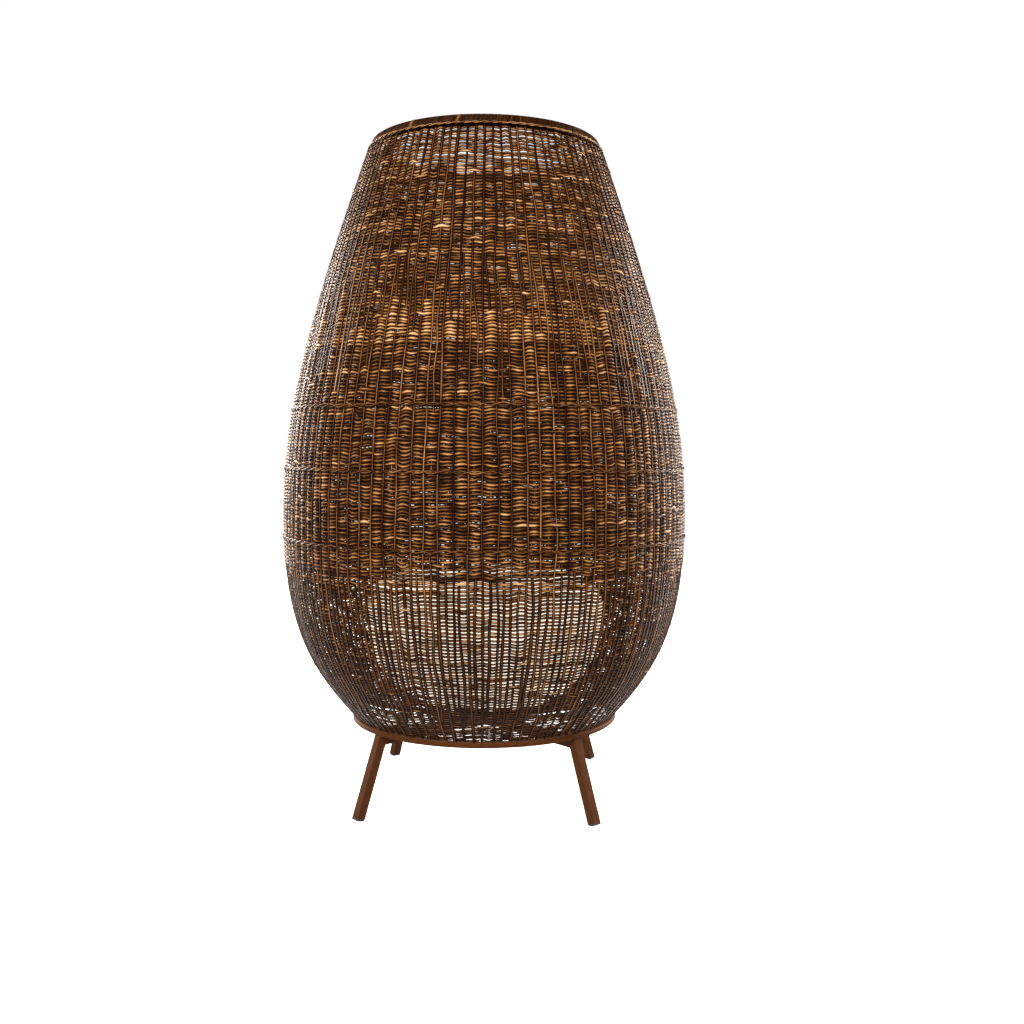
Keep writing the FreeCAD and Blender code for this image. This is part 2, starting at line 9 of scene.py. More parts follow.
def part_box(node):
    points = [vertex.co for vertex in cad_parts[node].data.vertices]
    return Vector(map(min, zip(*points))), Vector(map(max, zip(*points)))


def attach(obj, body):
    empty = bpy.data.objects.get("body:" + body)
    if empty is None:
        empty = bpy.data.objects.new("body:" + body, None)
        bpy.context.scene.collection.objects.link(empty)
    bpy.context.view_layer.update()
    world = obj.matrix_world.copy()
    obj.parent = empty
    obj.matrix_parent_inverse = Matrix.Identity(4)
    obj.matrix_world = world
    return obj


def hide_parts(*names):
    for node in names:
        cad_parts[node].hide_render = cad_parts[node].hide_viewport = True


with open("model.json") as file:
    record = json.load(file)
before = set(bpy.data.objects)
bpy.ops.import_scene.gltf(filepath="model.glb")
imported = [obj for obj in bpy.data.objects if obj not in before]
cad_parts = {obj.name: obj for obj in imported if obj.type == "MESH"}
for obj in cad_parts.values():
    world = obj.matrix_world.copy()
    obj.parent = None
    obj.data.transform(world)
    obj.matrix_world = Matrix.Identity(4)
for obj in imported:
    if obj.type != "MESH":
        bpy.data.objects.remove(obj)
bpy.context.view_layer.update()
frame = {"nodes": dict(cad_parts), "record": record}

# Woven floor lantern. Metres, in the CAD part's frame: +Z up, origin on the floor under the axis.
# The weave, its rolled border and its twisted strands are built here, strand by strand.
# Everything else is the CAD part, with materials of its own.

SEED = 41
MM = 0.001
TURN = 2 * math.pi

# ---- Weave ----
MAIN_STAKES = 100            # upright canes that run the whole height
SIDE_STAKES = 100            # one beside each main one, but not at the foot and the neck
STAKES = MAIN_STAKES + SIDE_STAKES
ROW_PITCH = 4.45 * MM
STAKE_HALF = (0.55 * MM, 1.60 * MM)     # half its depth and half its width
WEAVER_HALF = (0.70 * MM, 2.18 * MM)    # half its depth and half its height
WEAVE_REACH = 1.1 * MM       # how far a weaver swings out and in from the stakes
WEAVE_INSET = 1.9 * MM       # stakes' middle, under the shell's outside
SPLIT_HEIGHT = 0.146         # side stakes leave their main stake about here
SPLIT_SPREAD = 0.018
MERGE_HEIGHT = 0.700         # and join it again about here
MERGE_SPREAD = 0.055
MERGE_RUN = 60 * MM          # the length over which they close up
STAKE_BESIDE = 2.9 * MM      # from a main stake's middle to that of one laid beside it
OVER_UNDER = (0.335, 0.610)  # between these heights weavers pass over every second stake
OVER_UNDER_SPREAD = (0.008, 0.055)
BULGE = 0.55                 # elsewhere they run inside every stake and swell out between them
SLIP_CHANCE = 0.012          # that a weaver passes a stake on the wrong side
TWINED_HEIGHTS = (0.372, 0.467, 0.548)  # pairs of pale canes laid over the weave
TWINED_HALF = (0.7 * MM, 1.1 * MM)
TWINED_OUT = -0.1 * MM       # their middle, outside the shell's outside
TWINED_REACH = (0.55 * MM, 1.7 * MM)    # how far each swings out and up from that middle
TWINED_TINT = 0.70

# By height: how high the weavers are, how wide the stakes are, and how pale both are.
WEAVER_SIZES = ((0.12, 0.88), (0.17, 0.79), (0.30, 0.78), (0.34, 1.05), (0.66, 1.08), (0.80, 1.0),
                (0.90, 0.93))
STAKE_WIDTHS = ((0.12, 1.5), (0.30, 1.4), (0.36, 1.0), (0.62, 1.0), (0.76, 1.2), (0.90, 1.25))
# Both tints drop below about 0.33 m, where the weave is in front of the diffuser: painted shade. The
# stakes' tint also drops above 0.6 m.
WEAVER_TINTS = ((0.12, 0.58), (0.30, 0.54), (0.35, 0.63), (0.90, 0.63))
STAKE_TINTS = ((0.12, 0.54), (0.30, 0.50), (0.36, 0.66), (0.60, 0.66), (0.70, 0.52), (0.90, 0.44))

# How unlike each other the stakes are.
HOME_SCATTER = 0.0022        # of a stake's angle, in radians
WANDER_WAVES = 4
WANDER = 0.5 * MM            # sideways, in waves of these lengths
WANDER_LENGTHS = (70 * MM, 320 * MM)
STEADY_RUN = 30 * MM         # under the rim they wander less
STEADY_LEAST = 0.3
STAKE_SPREAD = (0.85, 1.15)  # of their widths
WIDE_CHANCE = 0.08
WIDE_FACTOR = 1.35
STAKE_BEND = 0.12 * MM       # in and out, once every two rows
STAKE_SWELL = (0.10, 0.11)   # change of width, and the height over which it comes back
STAKE_FADE = (0.10, 0.17)    # and the same for the tint
STAKE_TINT_SCATTER = 0.13

# How uneven the rows are. Waves round the shell: how many, fewest and most to a turn, strength.
ROW_SCATTER = 0.16 * MM
ROW_SWAY = (30, 30, 110, 1.0 * MM)      # up and down, together with the rows next to it
SWAY_LENGTH = 120 * MM       # height over which that changes
ROW_DRIFT = (6, 2, 14, 0.40 * MM)       # up and down on its own
ROW_KINK = (12, 20, 90, 0.20 * MM)
ROW_THICKNESS = (8, 3, 40, 0.13)
ROW_TINT = (8, 2, 60, 0.17)
ROW_TINT_SCATTER = 0.08
DEPTH_LIMITS = (0.8, 1.1)
HEIGHT_LIMITS = (0.82, 1.3)
PAINTED_SHADE_BY_SWING = 0.17         # painted shade and highlight: a weaver is darker where it passes behind a stake and paler where it stands out
TINT_INSIDE = 0.22           # and all of it is, in rows that run inside every stake
TWINED_DRIFT = (6, 2, 12, 0.7 * MM)
TWINED_FADE = (8, 3, 50, 0.16)

# How finely it is built.
STRAND_SIDES = 6
STEPS_PER_STAKE = 4
STAKE_STEP = 6 * MM
TWINED_STEPS = 12            # to a twist
ANGLE_TABLE_STEPS = 160
OUTLINE_STEPS = 400
ROWS_PER_PIECE = 19

rng = np.random.default_rng(SEED)


# ---- Mesh helpers ----
def new_piece(name, points, faces, material, attributes=None):
    """A smooth-shaded mesh object from arrays of corners and of quads."""
    mesh = bpy.data.meshes.new(name)
    mesh.vertices.add(len(points))
    mesh.vertices.foreach_set("co", np.asarray(points, np.float32).ravel())
    faces = np.asarray(faces, np.int32)
    mesh.loops.add(faces.size)
    mesh.loops.foreach_set("vertex_index", faces.ravel())
    mesh.polygons.add(len(faces))
    size = faces.shape[1]
    mesh.polygons.foreach_set("loop_start", np.arange(0, faces.size, size, dtype=np.int32))
    mesh.polygons.foreach_set("loop_total", np.full(len(faces), size, np.int32))
    mesh.polygons.foreach_set("use_smooth", np.ones(len(faces), bool))
    mesh.update(calc_edges=True)
    for key, values in (attributes or {}).items():
        layer = mesh.attributes.new(key, "FLOAT", "POINT")
        layer.data.foreach_set("value", np.asarray(values, np.float32))
    mesh.materials.append(material)
    piece = bpy.data.objects.new(name, mesh)
    bpy.context.scene.collection.objects.link(piece)
    return piece


def unit(vectors):
    """Vectors of length 1 in the same directions."""
    return vectors / np.linalg.norm(vectors, axis=-1, keepdims=True)


def tube_quads(rings, sides, closed):
    """Quads of a tube whose corners are numbered ring by ring."""
    i = np.arange(rings if closed else rings - 1)[:, None]
    j = np.arange(sides)[None, :]
    here = i * sides
    there = (i + 1) % rings * sides
    after = (j + 1) % sides
    return np.stack([here + j, there + j, there + after, here + after], axis=-1).reshape(-1, 4)


def sweep(centres, ups, half_depth, half_height, sides, closed):
    """Corners and quads of a strand with an oval section about a line of points.

    ups is the direction along the surface, across the strand. half_depth and half_height may
    change along the strand.
    """
    count = len(centres)
    if closed:
        ahead = np.roll(centres, -1, 0) - np.roll(centres, 1, 0)
    else:
        ahead = np.gradient(centres, axis=0)
    ahead = unit(ahead)
    ups = unit(ups - ahead * np.sum(ups * ahead, axis=1, keepdims=True))
    out = np.cross(ups, ahead)
    around = np.arange(sides) * TURN / sides
    depth = np.broadcast_to(half_depth, (count,))[:, None, None]
    height = np.broadcast_to(half_height, (count,))[:, None, None]
    ring = out[:, None, :] * np.cos(around)[None, :, None] * depth
    ring = ring + ups[:, None, :] * np.sin(around)[None, :, None] * height
    points = (centres[:, None, :] + ring).reshape(-1, 3)

    return points, tube_quads(count, sides, closed)


class Strands:
    """Collects strands that become one piece."""

    def __init__(self):
        self.points = []
        self.quads = []
        self.tints = []
        self.painted_edge_shades = []
        self.count = 0

    def add(self, centres, ups, half_depth, half_height, tint, closed, sides=STRAND_SIDES):
        points, quads = sweep(centres, ups, half_depth, half_height, sides, closed)
        self.points.append(points)
        self.quads.append(quads + self.count)
        self.tints.append(np.repeat(np.broadcast_to(tint, (len(centres),)), sides))
        # 0 on a strand's outer and inner faces, 1 at its edges: the material paints shade towards the
        # edges by it
        painted_edge_shade = np.abs(np.sin(np.arange(sides) * TURN / sides))
        self.painted_edge_shades.append(np.tile(painted_edge_shade, len(centres)))
        self.count += len(points)

    def build(self, name, material):
        attributes = {"tint": np.concatenate(self.tints), "painted_edge_shade": np.concatenate(self.painted_edge_shades)}
        return new_piece(name, np.concatenate(self.points), np.concatenate(self.quads),
                         material, attributes)


def waves(count, lowest, highest, strength):
    """A smooth random function of an angle, the same after a full turn."""
    order = rng.integers(lowest, highest + 1, count)
    phase = rng.uniform(0, TURN, count)
    size = rng.normal(0, strength / math.sqrt(count), count)

    def value(angle):
        return np.sum(size[:, None] * np.sin(order[:, None] * angle + phase[:, None]), axis=0)

    return value


# ---- The shell's outside, read from the CAD node ----
def shell_outline(node):
    """Radius and height along the outside of a turned CAD shell, from its foot to its top."""
    mesh = frame["nodes"][node].data
    found = set()
    for face in mesh.polygons:
        middle = face.center
        if face.normal.x * middle.x + face.normal.y * middle.y > 0.3 * math.hypot(middle.x, middle.y):
            for index in face.vertices:
                co = mesh.vertices[index].co
                found.add((round(co.z, 5), round(math.hypot(co.x, co.y), 4)))
    heights = {}
    for z, r in found:
        heights[z] = max(r, heights.get(z, 0))
    table = np.array(sorted(heights.items()))
    return table[:, 1], table[:, 0]


def smooth_through(knots, values, at):
    """Cubic interpolation with slopes taken from the neighbours."""
    slopes = np.gradient(values, knots)
    i = np.clip(np.searchsorted(knots, at) - 1, 0, len(knots) - 2)
    span = knots[i + 1] - knots[i]
    t = (at - knots[i]) / span
    start = (1 + 2 * t) * (1 - t) ** 2 * values[i] + t * (1 - t) ** 2 * span * slopes[i]
    end = t * t * (3 - 2 * t) * values[i + 1] + t * t * (t - 1) * span * slopes[i + 1]
    return start + end


class Surface:
    """The shell's outside as a function of the distance along it and of the angle."""

    def __init__(self, node):
        radius, height = shell_outline(node)
        steps = np.hypot(np.diff(radius), np.diff(height))
        knots = np.concatenate([[0], np.cumsum(steps)])
        self.length = knots[-1]
        self.along = np.linspace(0, self.length, OUTLINE_STEPS)
        self.radius = smooth_through(knots, radius, self.along)
        self.height = smooth_through(knots, height, self.along)
        self.up_r = np.gradient(self.radius, self.along)
        self.up_z = np.gradient(self.height, self.along)

    def radius_at(self, s):
        return np.interp(s, self.along, self.radius)

    def s_at_height(self, z):
        return float(np.interp(z, self.height, self.along))

    def place(self, s, angle, out):
        """Points at distance s along the outline, and the upward direction there."""
        s, angle, out = np.broadcast_arrays(s, angle, out)
        up_r = np.interp(s, self.along, self.up_r)
        up_z = np.interp(s, self.along, self.up_z)
        r = np.interp(s, self.along, self.radius) + out * up_z
        z = np.interp(s, self.along, self.height) - out * up_r
        points = np.stack([r * np.cos(angle), r * np.sin(angle), z], axis=-1)
        ups = np.stack([up_r * np.cos(angle), up_r * np.sin(angle), up_z], axis=-1)
        return points, ups


# ---- Materials ----
CANE_SPECULAR = 0.03
PAINTED_SHADE_FALLOFF = 0.8           # power that narrows the painted highlight along a cane's crown when it is below 1
BLOTCH_SCALE = 55.0          # noise scales are in waves to the metre
BLOTCHING = 0.22             # up and down, as a share of the colour ramp
GRAIN_SCALE = 700.0
GRAINING = 0.16
MOTTLE_SCALE = 90.0
TEXTURE_SCALE = 1260.0


def material_tree(name):
    """A new node material, its tree and its shader."""
    material = bpy.data.materials.new(name)
    material.use_nodes = True
    tree = material.node_tree
    shader = tree.nodes["Principled BSDF"]
    return material, tree, shader


def add_node(tree, kind, **values):
    """A node with the given input values."""
    node = tree.nodes.new(kind)
    for key, value in values.items():
        node.inputs[key].default_value = value
    return node


def ramp(tree, fac, stops):
    """A colour ramp over fac; stops are (position, (r, g, b))."""
    node = tree.nodes.new("ShaderNodeValToRGB")
    elements = node.color_ramp.elements
    while len(elements) < len(stops):
        elements.new(0.5)
    for element, (position, colour) in zip(elements, stops):
        element.position = position
        element.color = (*colour, 1)
    tree.links.new(fac, node.inputs["Fac"])
    return node.outputs["Color"]


def math_node(tree, operation, a, b):
    """A math node over numbers or sockets; its result."""
    node = tree.nodes.new("ShaderNodeMath")
    node.operation = operation
    for socket, value in zip(node.inputs, (a, b)):
        if isinstance(value, (int, float)):
            socket.default_value = value
        else:
            tree.links.new(value, socket)
    return node.outputs[0]


def noise(tree, scale, detail):
    """Noise over object coordinates."""
    coordinates = tree.nodes.new("ShaderNodeTexCoord")
    node = add_node(tree, "ShaderNodeTexNoise", Scale=scale, Detail=detail)
    tree.links.new(coordinates.outputs["Object"], node.inputs["Vector"])
    return node.outputs["Fac"]


def bump(tree, shader, height, strength, distance):
    """Makes the shader's surface uneven by a height."""
    node = add_node(tree, "ShaderNodeBump", Strength=strength, Distance=distance)
    tree.links.new(height, node.inputs["Height"])
    tree.links.new(node.outputs["Normal"], shader.inputs["Normal"])


def span(tree, value, low, high):
    """Maps 0 to 1 onto low to high."""
    return math_node(tree, "ADD", math_node(tree, "MULTIPLY", value, high - low), low)


def attribute(tree, name):
    """The value a mesh stores under this name."""
    node = tree.nodes.new("ShaderNodeAttribute")
    node.attribute_name = name
    return node.outputs["Fac"]


def cane_material(name, stops, painted_shade_strength):
    """Stained cane: each strand's own tint, darkened towards its edges by painted shade, which leaves
    a painted highlight along its crown.
    """
    material, tree, shader = material_tree(name)
    # Painted shade: the tint is lowered towards each cane's edges, which leaves a painted highlight
    # along its crown.
    painted_edge_shade = math_node(tree, "POWER", attribute(tree, "painted_edge_shade"), PAINTED_SHADE_FALLOFF)
    tint_with_painted_shade = math_node(tree, "SUBTRACT", attribute(tree, "tint"),
                      math_node(tree, "MULTIPLY", painted_edge_shade, painted_shade_strength))
    blotch = noise(tree, BLOTCH_SCALE, 2.0)
    grain = noise(tree, GRAIN_SCALE, 3.0)
    mixed = math_node(tree, "ADD", tint_with_painted_shade, span(tree, blotch, -BLOTCHING, BLOTCHING))
    mixed = math_node(tree, "ADD", mixed, span(tree, grain, -GRAINING, GRAINING))
    tree.links.new(ramp(tree, mixed, stops), shader.inputs["Base Color"])
    tree.links.new(span(tree, grain, 0.28, 0.5), shader.inputs["Roughness"])
    shader.inputs["Specular IOR Level"].default_value = CANE_SPECULAR
    bump(tree, shader, grain, 0.35, 0.3 * MM)
    return material


def paint_material(name, colour, roughness, mottling=0.12, metallic=0.0, specular=0.35):
    """Paint, plastic or metal with a slight mottling and a fine surface texture."""
    material, tree, shader = material_tree(name)
    broad = noise(tree, MOTTLE_SCALE, 4.0)
    fine = noise(tree, TEXTURE_SCALE, 2.0)
    dark = tuple(c * (1 - mottling) for c in colour)
    light = tuple(min(1.0, c * (1 + mottling)) for c in colour)
    tree.links.new(ramp(tree, broad, [(0.3, dark), (0.7, light)]), shader.inputs["Base Color"])
    tree.links.new(span(tree, fine, roughness - 0.06, roughness + 0.08), shader.inputs["Roughness"])
    shader.inputs["Metallic"].default_value = metallic
    shader.inputs["Specular IOR Level"].default_value = specular
    bump(tree, shader, fine, 0.1, 0.2 * MM)
    return material


def opal_material(name, colour, glow, strength):
    """White diffusing plastic with the lamp's light in it."""
    material, tree, shader = material_tree(name)
    cloud = noise(tree, 18.0, 2.0)
    dark = tuple(c * 0.96 for c in colour)
    tree.links.new(ramp(tree, cloud, [(0.3, dark), (0.7, colour)]), shader.inputs["Base Color"])
    shader.inputs["Roughness"].default_value = 0.45
    shader.inputs["Emission Color"].default_value = (*glow, 1)
    shader.inputs["Emission Strength"].default_value = strength
    bump(tree, shader, noise(tree, 1500.0, 1.0), 0.05, 0.1 * MM)
    return material


WICKER_STOPS = [
    (0.00, (0.014, 0.004, 0.001)),
    (0.20, (0.042, 0.013, 0.003)),
    (0.42, (0.130, 0.046, 0.013)),
    (0.65, (0.350, 0.145, 0.044)),
    (0.85, (0.660, 0.340, 0.130)),
    (1.00, (0.850, 0.560, 0.290)),
]
BORDER_STOPS = [
    (0.00, (0.012, 0.004, 0.001)),
    (0.40, (0.045, 0.015, 0.004)),
    (0.70, (0.110, 0.040, 0.012)),
    (1.00, (0.300, 0.130, 0.045)),
]

# The last number is how strong the painted shade at each cane's edges is.
wicker = cane_material("wicker", WICKER_STOPS, 0.95)
border_cane = cane_material("border_cane", BORDER_STOPS, 0.25)
node_materials = {
    "ring_paint": paint_material("ring_paint", (0.095, 0.029, 0.008), 0.6, specular=0.06),
    "frame_paint": paint_material("frame_paint", (0.040, 0.015, 0.006), 0.55, specular=0.08),
    "leg_paint": paint_material("leg_paint", (0.090, 0.029, 0.008), 0.6, specular=0.06),
    "foot_plastic": paint_material("foot_plastic", (0.030, 0.016, 0.010), 0.55),
    "zinc_steel": paint_material("zinc_steel", (0.58, 0.57, 0.55), 0.32, metallic=1.0),
    "housing_plastic": paint_material("housing_plastic", (0.055, 0.028, 0.016), 0.48),
    "seal_rubber": paint_material("seal_rubber", (0.018, 0.018, 0.018), 0.7),
    "holder_plastic": paint_material("holder_plastic", (0.70, 0.68, 0.63), 0.4, mottling=0.04),
    "brass": paint_material("brass", (0.70, 0.48, 0.20), 0.3, metallic=1.0),
    "lead_insulation": paint_material("lead_insulation", (0.30, 0.12, 0.05), 0.5),
    "cap_metal": paint_material("cap_metal", (0.72, 0.70, 0.66), 0.28, metallic=1.0),
    "bulb_plastic": paint_material("bulb_plastic", (0.80, 0.79, 0.76), 0.42, mottling=0.03),
    "opal": opal_material("opal", (0.90, 0.88, 0.84), (1.0, 0.89, 0.74), 1.12),
    "bulb_opal": opal_material("bulb_opal", (0.95, 0.93, 0.90), (1.0, 0.88, 0.70), 3.0),
}


def dress_nodes():
    """Gives each CAD node its slot's material."""
    for part in frame["record"]["subparts"]:
        mesh = frame["nodes"][part["node"]].data
        mesh.materials.clear()
        mesh.materials.append(node_materials.get(part["material_slot"], wicker))


# ---- Weave ----
class Stake:
    """One upright cane: where it starts and ends along the shell, and how it wanders."""

    def __init__(self, surface, number):
        self.main = number % 2 == 0
        self.home = number * TURN / STAKES + rng.normal(0, HOME_SCATTER)
        self.sizes = rng.normal(0, WANDER, WANDER_WAVES)
        self.lengths = rng.uniform(*WANDER_LENGTHS, WANDER_WAVES)
        self.phases = rng.uniform(0, TURN, WANDER_WAVES)
        self.width = rng.uniform(*STAKE_SPREAD)
        if rng.random() < WIDE_CHANCE:
            self.width *= WIDE_FACTOR
        split = SPLIT_HEIGHT + rng.uniform(-0.5, 0.5) * SPLIT_SPREAD
        merge = MERGE_HEIGHT + rng.uniform(-0.2, 0.8) * MERGE_SPREAD
        low, high = (z + rng.normal(0, spread) for z, spread in zip(OVER_UNDER, OVER_UNDER_SPREAD))
        self.over_low = surface.s_at_height(low)
        self.over_high = surface.s_at_height(high)
        self.start = 0.0 if self.main else surface.s_at_height(split)
        self.end = surface.length if self.main else surface.s_at_height(merge)

    def angle(self, surface, s):
        wander = np.sum(self.sizes * np.sin(s * TURN / self.lengths + self.phases))
        fade = np.clip((surface.length - s) / STEADY_RUN, STEADY_LEAST, 1)
        return self.home + wander * fade / surface.radius_at(s)


def ease(t):
    """0 to 1 with level ends."""
    t = np.clip(t, 0, 1)
    return t * t * (3 - 2 * t)


def all_angles(surface, stakes, s):
    """The angles of every stake at one s. A side stake closes up to its main one at its ends."""
    angles = []
    for k, stake in enumerate(stakes):
        angle = stake.angle(surface, s)
        if not stake.main:
            beside = stakes[k - 1].angle(surface, s) + STAKE_BESIDE / surface.radius_at(s)
            apart = ease((s - stake.start) / MERGE_RUN * 2) * ease((stake.end - s) / MERGE_RUN)
            angle = beside + (angle - beside) * apart
        angles.append(angle)
    return np.array(angles)


def weave():
    """The whole woven shell: bands of weaver rows, main stakes, side stakes and twined canes."""
    surface = Surface("woven_shell")
    stakes = [Stake(surface, k) for k in range(STAKES)]
    rows = int(surface.length / ROW_PITCH)
    heights = (np.arange(rows) + 0.5) * surface.length / rows
    heights = heights + rng.normal(0, ROW_SCATTER, rows)
    table_s = np.linspace(0, surface.length, ANGLE_TABLE_STEPS)
    table = np.stack([all_angles(surface, stakes, s) for s in table_s])
    main = np.array([stake.main for stake in stakes])
    low, high = surface.s_at_height(SPLIT_HEIGHT), surface.s_at_height(MERGE_HEIGHT)
    over_low = np.array([stake.over_low for stake in stakes])
    over_high = np.array([stake.over_high for stake in stakes])

    sway = (waves(*ROW_SWAY), waves(*ROW_SWAY))
    pieces = []
    band = Strands()
    for row, s in enumerate(heights):
        angles = np.array([np.interp(s, table_s, table[:, k]) for k in range(STAKES)])
        present = main | (low < s < high)
        over = ~main & (over_low < s) & (s < over_high)
        signs = np.where(over, 1.0, -1.0)
        angles, signs = angles[present], signs[present]
        slips = rng.random(len(signs)) < SLIP_CHANCE
        signs = np.where(slips, -signs, signs)
        band.add(*weaver(surface, s, angles, signs, sway), closed=True)
        if (row + 1) % ROWS_PER_PIECE == 0 or row == rows - 1:
            pieces.append(band.build(f"weave_band_{len(pieces) + 1:02d}", wicker))
            band = Strands()

    for group, name in ((True, "main_stakes"), (False, "side_stakes")):
        canes = Strands()
        for k, stake in enumerate(stakes):
            if stake.main == group:
                add_stake(canes, surface, stake, k, table_s, table[:, k])
        pieces.append(canes.build(name, wicker))
    pieces.append(twined_rows(surface))
    return pieces


def by_height(table, z):
    """A value from a table of (height, value)."""
    levels, values = zip(*table)
    return np.interp(z, levels, values)


def add_stake(canes, surface, stake, number, table_s, table):
    """One upright cane, with its angles from the table."""
    count = int((stake.end - stake.start) / STAKE_STEP)
    s = np.linspace(stake.start, stake.end, count)
    angle = np.interp(s, table_s, table)
    bend = STAKE_BEND * np.sin(s * TURN / (2 * ROW_PITCH) + number)
    points, _ = surface.place(s, angle, -WEAVE_INSET + bend)
    across = np.stack([-np.sin(angle), np.cos(angle), 0 * angle], axis=-1)
    swell = 1 + STAKE_SWELL[0] * np.sin(s * TURN / STAKE_SWELL[1] + 3 * number)
    tint = by_height(STAKE_TINTS, points[:, 2]) + rng.normal(0, STAKE_TINT_SCATTER)
    tint = tint + STAKE_FADE[0] * np.sin(s * TURN / STAKE_FADE[1] + number)
    width = STAKE_HALF[1] * stake.width * swell * by_height(STAKE_WIDTHS, points[:, 2])
    canes.add(points, across, STAKE_HALF[0] * swell, width, tint, closed=False)


def weaver(surface, s, angles, signs, sway):
    """One turn of a weaver, in front of the stakes with sign 1 and behind those with sign -1."""
    order = np.argsort(angles)
    angles, signs = angles[order], signs[order]
    t = np.arange(STEPS_PER_STAKE) / STEPS_PER_STAKE
    gaps = np.diff(np.append(angles, angles[0] + TURN))
    angle = (angles[:, None] + gaps[:, None] * t).ravel()
    swing = signs[:, None] + (np.roll(signs, -1) - signs)[:, None] * ease(t)
    bulge = BULGE * (signs + np.roll(signs, -1) < 0)[:, None] * np.sin(np.pi * t) ** 2
    swing = (swing + bulge).ravel()
    z = float(np.interp(s, surface.along, surface.height))

    turn = s * TURN / SWAY_LENGTH
    swayed = s + sway[0](angle) * math.cos(turn) + sway[1](angle) * math.sin(turn)
    drift = waves(*ROW_DRIFT)(angle)
    kink = waves(*ROW_KINK)(angle)
    thick = 1 + waves(*ROW_THICKNESS)(angle)
    tint = by_height(WEAVER_TINTS, z) + rng.normal(0, ROW_TINT_SCATTER) + waves(*ROW_TINT)(angle)
    # painted shade where the weaver passes behind a stake, painted highlight where it stands out
    tint = tint + PAINTED_SHADE_BY_SWING * swing + (TINT_INSIDE if np.mean(signs) < -0.5 else 0)
    points, ups = surface.place(swayed + drift + kink, angle, -WEAVE_INSET + WEAVE_REACH * swing)
    depth = WEAVER_HALF[0] * np.clip(thick, *DEPTH_LIMITS)
    height = WEAVER_HALF[1] * np.clip(thick, *HEIGHT_LIMITS) * by_height(WEAVER_SIZES, z)
    return points, ups, depth, height, tint


def twined_rows(surface):
    """Pale canes in pairs that twist round each other over the weave."""
    rows = Strands()
    turns = MAIN_STAKES // 2
    angle = np.linspace(0, TURN, turns * TWINED_STEPS, endpoint=False)
    for z in TWINED_HEIGHTS:
        s = surface.s_at_height(z)
        drift = waves(*TWINED_DRIFT)(angle)
        for start in (0, math.pi):
            phase = turns * angle + start
            out = TWINED_OUT + TWINED_REACH[0] * np.cos(phase)
            up = drift + TWINED_REACH[1] * np.sin(phase)
            points, ups = surface.place(s + up, angle, out)
            tint = TWINED_TINT + waves(*TWINED_FADE)(angle)
            rows.add(points, ups, *TWINED_HALF, tint, closed=True)
    return rows.build("twined_rows", wicker)


# ---- Rim ----
BORDER_HALF = (5.5 * MM, 8.0 * MM)      # half the width and half the height of its section
BORDER_LEAN = math.radians(20)
BORDER_SQUARENESS = 0.72     # 1 is an oval, less is squarer
CORE_SCALE = 0.93            # of the border's section
CORE_STEPS = 720
CORE_TINT = (0.20, 0.05)     # middle and scatter
WRAP_SCALE = 0.965           # straps have the whole section
WRAP_STEPS = 28
WRAP_HALF_DEPTH = 0.32 * MM
WRAP_OVERLAP = 0.56          # half a wrap's breadth over the step to the next
WRAP_WIDTHS = (1.7 * MM, 2.6 * MM)
WRAP_TINT = (0.40, 0.09)
WRAP_SLANT = (0.012, 0.003)  # how far a wrap leads or lags at its top and foot, in radians
PALE_CHANCE = 0.03           # of a pale wrap
PALE_TINT = 0.75
STRAP_CHANCE = 0.02          # of a wide pale strap
STRAP_WIDTHS = (4.5 * MM, 6.0 * MM)
STRAP_TINTS = (0.80, 0.95)
BRAID_DROP = 4.4 * MM        # the twisted strand's middle, under that of the border
BRAID_STAND = 8.4 * MM       # and outside it
BRAID_HALF = 0.95 * MM       # half the thickness of its canes
BRAID_REACH = 0.8 * MM       # from its middle to the middle of a cane
BRAID_LAY = 24 * MM          # length of one twist
BRAID_STEPS = 10             # to a twist
BRAID_SIDES = 8
BRAID_TINT = 0.95
BRAID_FADE = (6, 3, 40, 0.12)


def torus_middle(node):
    """Radius and height of the middle of a turned node's section."""
    low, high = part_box(node)
    co = [v.co for v in frame["nodes"][node].data.vertices]
    radii = [math.hypot(c.x, c.y) for c in co]
    return (min(radii) + max(radii)) / 2, (low.z + high.z) / 2


def border_section(scale):
    """The border's rounded section about its middle, leaning in like the weave."""
    around = np.linspace(0, TURN, WRAP_STEPS, endpoint=False)
    x = np.sign(np.cos(around)) * np.abs(np.cos(around)) ** BORDER_SQUARENESS * BORDER_HALF[0] * scale
    z = np.sign(np.sin(around)) * np.abs(np.sin(around)) ** BORDER_SQUARENESS * BORDER_HALF[1] * scale
    lean_r = x * math.cos(BORDER_LEAN) - z * math.sin(BORDER_LEAN)
    lean_z = x * math.sin(BORDER_LEAN) + z * math.cos(BORDER_LEAN)
    return lean_r, lean_z


def rim_core():
    """The bundle of canes inside the border's wrapping."""
    middle_r, middle_z = torus_middle("top_hoop")
    section_r, section_z = border_section(CORE_SCALE)
    angle = np.arange(CORE_STEPS) * TURN / CORE_STEPS
    r = middle_r + section_r[None, :] * np.ones((CORE_STEPS, 1))
    z = middle_z + section_z[None, :] * np.ones((CORE_STEPS, 1))
    points = np.stack([r * np.cos(angle)[:, None], r * np.sin(angle)[:, None], z], axis=-1)
    quads = tube_quads(CORE_STEPS, WRAP_STEPS, closed=True)
    tint = np.repeat(rng.normal(*CORE_TINT, CORE_STEPS), WRAP_STEPS)
    # the core gets no painted shade at its edges
    attributes = {"tint": tint, "painted_edge_shade": np.zeros(len(tint))}
    return new_piece("rim_core", points.reshape(-1, 3), quads, border_cane, attributes)


